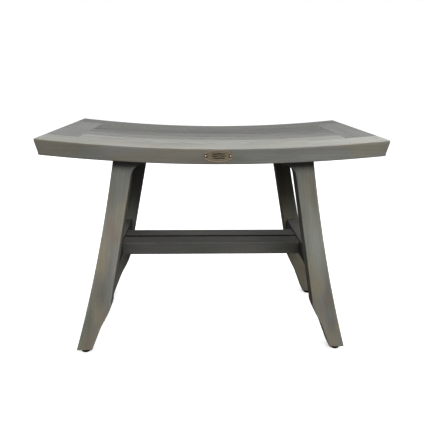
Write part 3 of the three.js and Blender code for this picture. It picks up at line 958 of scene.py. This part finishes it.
def badge_pins():
    """The two domed pins that hold the badge."""
    count = 8
    for i in (1, 2):
        low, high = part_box(f"badge_pin_{i}")
        middle = (low + high) / 2
        radius = (high.x - low.x) / 2
        length = high.y - low.y
        profile = [(0, 0)]
        for k in range(1, count + 1):
            angle = math.pi / 2 * k / count
            profile.append((radius * math.sin(angle), PIN_DOME * (1 - math.cos(angle))))
        profile += [(PIN_SHANK_RADIUS, PIN_DOME), (PIN_SHANK_RADIUS, length - PIN_POINT), (0, length)]
        pin = moved(turned(profile, 32), Matrix.Rotation(-math.pi / 2, 4, "X"))
        pin = moved(pin, Matrix.Translation((middle.x, low.y, middle.z)))
        wear = pin.verts.layers.float.new("wear")
        for vertex in pin.verts:
            vertex[wear] = 1.0
        piece = new_object(f"pin_{i}", pin, PIN_METAL)
        hand_over(piece, 38, "bench", "badge_brass", f"badge_pin_{i}")


# ---------------- levelling feet

THREAD_RADIUS, THREAD_DEPTH = 0.003, 0.00055  # M6
THREAD_ROWS = 4  # rings of points a turn
THREAD_LEAD_IN = 0.0006  # how far the free end tapers
FLANGE_RADIUS, FLANGE_HEIGHT, FLANGE_EDGE = 0.0064, 0.0022, 0.0004
PAD_SOCKET_RADIUS, PAD_SOCKET_FLOOR, PAD_SOCKET_ROOF = 0.0068, 0.0028, 0.0056
PAD_NECK_RADIUS = 0.0034
PAD_HOLLOW = 0.0006  # under the tread
INSERT_RIB = 0.0021  # pitch of the ribs


def threaded_bar(start, end, radius, pitch, depth):
    """A bar along Z with a helical thread, run out smoothly at both ends and closed by flat caps."""
    mesh = bmesh.new()
    segments = 28
    profile = [(0.0, 0.0), (0.36, 1.0), (0.5, 1.0), (0.86, 0.0)]  # share of the pitch, of the depth
    rows = int(round((end - start) / pitch)) * THREAD_ROWS
    rings = []
    for i in range(rows + 1):
        ring = []
        for k in range(segments):
            height = start + (end - start) * i / rows
            phase = ((height - start) / pitch - k / segments) % 1.0
            cutaway = 0.0
            for (a, low), (b, high) in zip(profile, profile[1:]):
                if a <= phase <= b:
                    cutaway = low + (high - low) * (phase - a) / (b - a)
            run_out = smooth_step(min(height - start, end - height), 0.0, pitch)
            taper = THREAD_LEAD_IN * smooth_step(height, end - pitch, end)
            reach = radius - depth * cutaway * run_out - taper
            ring.append(mesh.verts.new((*on_circle(reach, k, segments), height)))
        rings.append(ring)
    bridge(mesh, rings)
    mesh.faces.new(list(reversed(rings[0])))
    mesh.faces.new(rings[-1])
    return mesh


def foot_pad(low, high):
    """The black pad: a hollow tread, a groove round its side and a socket for the stud's flange."""
    radius, top = (high.x - low.x) / 2, high.z
    hollow = [(0, PAD_HOLLOW), (radius - 0.0035, PAD_HOLLOW)]
    side = [  # how far in from the full radius, and how high
        (0.003, 0.0), (0.0012, 0.0), (0.0004, 0.0003), (0.0, 0.001),
        (0.0, 0.0036), (0.0002, 0.0041), (0.0006, 0.0043), (0.0006, 0.0048),
        (0.0004, 0.0051), (0.0011, top - 0.0013), (0.0014, top - 0.0005), (0.0021, top),
    ]
    socket = [
        (PAD_NECK_RADIUS, top), (PAD_NECK_RADIUS - 0.0001, PAD_SOCKET_ROOF),
        (PAD_SOCKET_RADIUS, PAD_SOCKET_ROOF), (PAD_SOCKET_RADIUS, PAD_SOCKET_FLOOR),
        (0, PAD_SOCKET_FLOOR),
    ]
    profile = hollow + [(radius - inset, height) for inset, height in side] + socket
    return turned(profile, 64)


def foot_stud(low, high):
    """The stud: a flange that sits in the pad, and an M6 thread above it."""
    inner = FLANGE_RADIUS - FLANGE_EDGE
    profile = [
        (0, 0), (inner, 0), (FLANGE_RADIUS, FLANGE_EDGE),
        (FLANGE_RADIUS, FLANGE_HEIGHT - FLANGE_EDGE), (inner, FLANGE_HEIGHT), (0, FLANGE_HEIGHT),
    ]
    flange = turned(profile)
    start = FLANGE_HEIGHT - 0.0001  # so that the bar runs into the flange
    thread = threaded_bar(start, high.z - low.z, THREAD_RADIUS, FOOT_SCREW_PITCH, THREAD_DEPTH)
    data = bpy.data.meshes.new("thread")
    thread.to_mesh(data)
    thread.free()
    flange.from_mesh(data)
    bpy.data.meshes.remove(data)
    return moved(flange, Matrix.Translation((0, 0, low.z)))


def foot_insert(low, high):
    """The brass insert: a chamfered collar on a ribbed body."""
    bore, body, collar = 0.0033, 0.005, (high.x - low.x) / 2
    shoulder = low.z + 0.0015
    lead, chamfer, groove = 0.0004, 0.0003, 0.0005
    profile = [
        (bore + lead, low.z), (collar - chamfer, low.z), (collar, low.z + chamfer),
        (collar, shoulder), (body, shoulder),
    ]
    height = shoulder
    while height + INSERT_RIB < high.z - 0.001:
        profile += [
            (body, height + INSERT_RIB * 0.55),
            (body - groove, height + INSERT_RIB * 0.7),
            (body - groove, height + INSERT_RIB * 0.85),
            (body, height + INSERT_RIB),
        ]
        height += INSERT_RIB
    profile += [(body - lead, high.z), (bore, high.z), (bore, low.z + lead)]
    return turned(profile)


def feet():
    """A pad, a stud and an insert at each corner. The insert stays with the bench."""
    for row, side in CORNERS:
        corner = f"{row}_{side}"
        parts = {
            "pad": (foot_pad, FOOT_PLASTIC, "foot_plastic", f"pad_{corner}"),
            "stud": (foot_stud, STEEL, "steel", f"stud_{corner}"),
            "insert": (foot_insert, INSERT_BRASS, "insert_brass", "bench"),
        }
        low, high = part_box(f"foot_pad_{corner}")
        shift = Matrix.Translation(((low.x + high.x) / 2, (low.y + high.y) / 2, 0))
        for part, (make, material, slot, body) in parts.items():
            node = f"foot_{part}_{corner}"
            piece = new_object(f"{corner}_{part}", moved(make(*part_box(node)), shift), material)
            hand_over(piece, METAL_ANGLE, body, slot, node)


# ---------------- screws


def wood_screw(length, head_radius, shank_radius):
    """A pan-head wood screw along +Z from z = 0, with a six-lobed recess and a coarse thread."""
    lobes, segments = 6, 72
    socket_depth = head_radius * 0.42
    head_height = head_radius * 0.6
    mesh = bmesh.new()

    def ring(radius, height, lobed=0.0):
        made = []
        for k in range(segments):
            reach = radius * (1 + lobed * math.cos(lobes * 2 * math.pi * k / segments))
            made.append(mesh.verts.new((*on_circle(reach, k, segments), height)))
        return made

    rings = [
        ring(head_radius * 0.34, socket_depth, 0.14),
        ring(head_radius * 0.40, socket_depth * 0.9, 0.14),
        ring(head_radius * 0.42, 0.00012, 0.14),
        ring(head_radius * 0.48, 0.0, 0.06),
        ring(head_radius * 0.72, 0.0001),
        ring(head_radius * 0.9, 0.00045),
        ring(head_radius, 0.001),
        ring(head_radius, head_height - 0.0003),
        ring(shank_radius * 1.2, head_height),
    ]
    pitch, depth = shank_radius * 1.1, shank_radius * 0.28
    start, end = head_height + 0.001, length - 2.2 * shank_radius
    rows = int((end - start) / pitch) * 3
    for i in range(rows + 1):
        cutaway = depth * (0, 0.9, 0.5)[i % 3]
        rings.append(ring(shank_radius - cutaway, start + (end - start) * i / rows))
    rings.append(ring(shank_radius * 0.25, length - 0.0004))
    bridge(mesh, rings)
    mesh.faces.new(rings[0])
    mesh.faces.new(rings[-1])
    bmesh.ops.recalc_face_normals(mesh, faces=mesh.faces)
    return mesh


def driven_screw(node, name, across=0):
    """A screw in a CAD node's box. across is the way it points along X, or 0 for up."""
    low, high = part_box(node)
    middle = (low + high) / 2
    length = high.x - low.x if across else high.z - low.z
    head_radius = (high.y - low.y) / 2
    mesh = wood_screw(length, head_radius, head_radius * 0.5)
    if across:
        mesh = moved(mesh, Matrix.Rotation(across * math.pi / 2, 4, "Y"))
        start = (low.x if across > 0 else high.x, middle.y, middle.z)
    else:
        start = (middle.x, middle.y, low.z)
    piece = new_object(name, moved(mesh, Matrix.Translation(start)), STEEL)
    hand_over(piece, METAL_ANGLE, "bench", "steel", node)


def screws():
    """The screws up into the slats, and the long ones through the side rails into the stretchers."""
    for i in SLATS:
        driven_screw(f"batten_screw_{i}", f"batten_screw_head_{i}")
    for row, side in CORNERS:
        corner = f"{row}_{side}"
        driven_screw(f"top_rail_screw_{corner}", f"rail_screw_{corner}")
        driven_screw(f"stretcher_screw_{corner}", f"long_screw_{corner}", -SIDES[side])


def hidden_joinery():
    """The loose tenons and dowels stay as the CAD has them, in fresh wood."""
    for row, side in CORNERS:
        for node in (f"seat_corner_tenon_{row}_{side}", f"head_dowel_{row}_{side}"):
            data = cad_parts[node].data
            if not data.materials:
                data.materials.append(JOINERY)
            for i in range(len(data.materials)):
                data.materials[i] = JOINERY


# ---------------- camera, floor and lights

CAMERA_PLACE = Vector((-0.0269, -0.7975, 0.5717))
CAMERA_PITCH = math.radians(20.348)
CAMERA_YAW = math.radians(2.279)
CAMERA_ROLL = math.radians(0.680)
CAMERA_SENSOR, CAMERA_LENS = 36, 31.76  # millimetres
FLOOR_SIZE = 9
FLOOR_GLOW = 0.6  # lifts the floor to the white of the surround
SKY = (0.1, 0.9, 0.05, 0.6)  # low and high in the sky, and the strengths there
LIGHTS = [  # name, place, target, size and watts
    ("overhead", (0.8, -0.3, 2.3), (0, 0, 0.4), (1.8, 1.2), 24),
    ("front", (0.4, -2.1, 2.1), (0, 0, 0.3), (2.0, 1.0), 36),
    ("back", (-0.6, 2.2, 2.5), (0, 0, 0.3), (2.2, 1.0), 26),
]


def camera():
    """A camera in front of the bench, a little above the seat."""
    data = bpy.data.cameras.new("camera")
    data.sensor_width = CAMERA_SENSOR
    data.lens = CAMERA_LENS
    data.clip_start, data.clip_end = 0.01, 100
    made = link_object("camera", data)
    level = math.cos(CAMERA_PITCH)
    sine, cosine = math.sin(CAMERA_YAW), math.cos(CAMERA_YAW)
    forward = Vector((level * sine, level * cosine, -math.sin(CAMERA_PITCH)))
    right = Vector((cosine, -sine, 0))
    up = right.cross(forward)
    rolled_right = math.cos(CAMERA_ROLL) * right + math.sin(CAMERA_ROLL) * up
    rolled_up = math.cos(CAMERA_ROLL) * up - math.sin(CAMERA_ROLL) * right
    turn = Matrix((rolled_right, rolled_up, -forward)).transposed()
    made.matrix_world = Matrix.Translation(CAMERA_PLACE) @ turn.to_4x4()
    bpy.context.scene.camera = made


def floor():
    """A pale floor that goes down with the feet. It throws little light back under the seat."""
    s = Shader("pale_floor")
    s.finish(Base_Color=(0.9, 0.9, 0.9, 1.0), Roughness=0.9, Specular_IOR_Level=0.0)
    s.finish(Emission_Color=(1.0, 1.0, 1.0, 1.0), Emission_Strength=FLOOR_GLOW)
    mesh = bmesh.new()
    bmesh.ops.create_grid(mesh, x_segments=1, y_segments=1, size=FLOOR_SIZE)
    made = new_object("floor", mesh, s.owner)
    made.visible_diffuse = False
    made.visible_glossy = False
    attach(made, "pad_front_left")


def area_light(name, place, target, size, power):
    """A soft box that faces its target."""
    data = bpy.data.lights.new(name, "AREA")
    data.shape = "RECTANGLE"
    data.size, data.size_y = size
    data.energy = power
    made = link_object(name, data)
    made.location = place
    made.rotation_mode = "QUATERNION"
    made.rotation_quaternion = (Vector(target) - Vector(place)).to_track_quat("-Z", "Y")


def studio():
    """A white surround that only the camera sees, a soft sky lit from above, and the soft boxes."""
    s = Shader("studio", bpy.data.worlds)
    bpy.context.scene.world = s.owner
    s.tree.nodes.clear()
    white = {"Color": (1, 1, 1, 1)}
    place = s.node("ShaderNodeTexCoord", "Generated")
    height = s.node("ShaderNodeSeparateXYZ", "Z", {0: place})
    sky = s.node("ShaderNodeBackground", inputs={**white, "Strength": s.ramp(height, *SKY)})
    surround = s.node("ShaderNodeBackground", inputs=white)
    seen = s.node("ShaderNodeLightPath", "Is Camera Ray")
    mix = s.node("ShaderNodeMixShader", inputs={0: seen, 1: sky, 2: surround})
    s.node("ShaderNodeOutputWorld", inputs={"Surface": mix})
    for light in LIGHTS:
        area_light(*light)
    bpy.context.scene.view_settings.view_transform = "Standard"


# ---------------- assembly

camera()
studio()
floor()
seat_rails()
end_rails()
seat_slats()
centre_batten()
top_rails()
side_rails()
stretchers()
legs()
plugs()
badge()
badge_pins()
feet()
screws()
hidden_joinery()
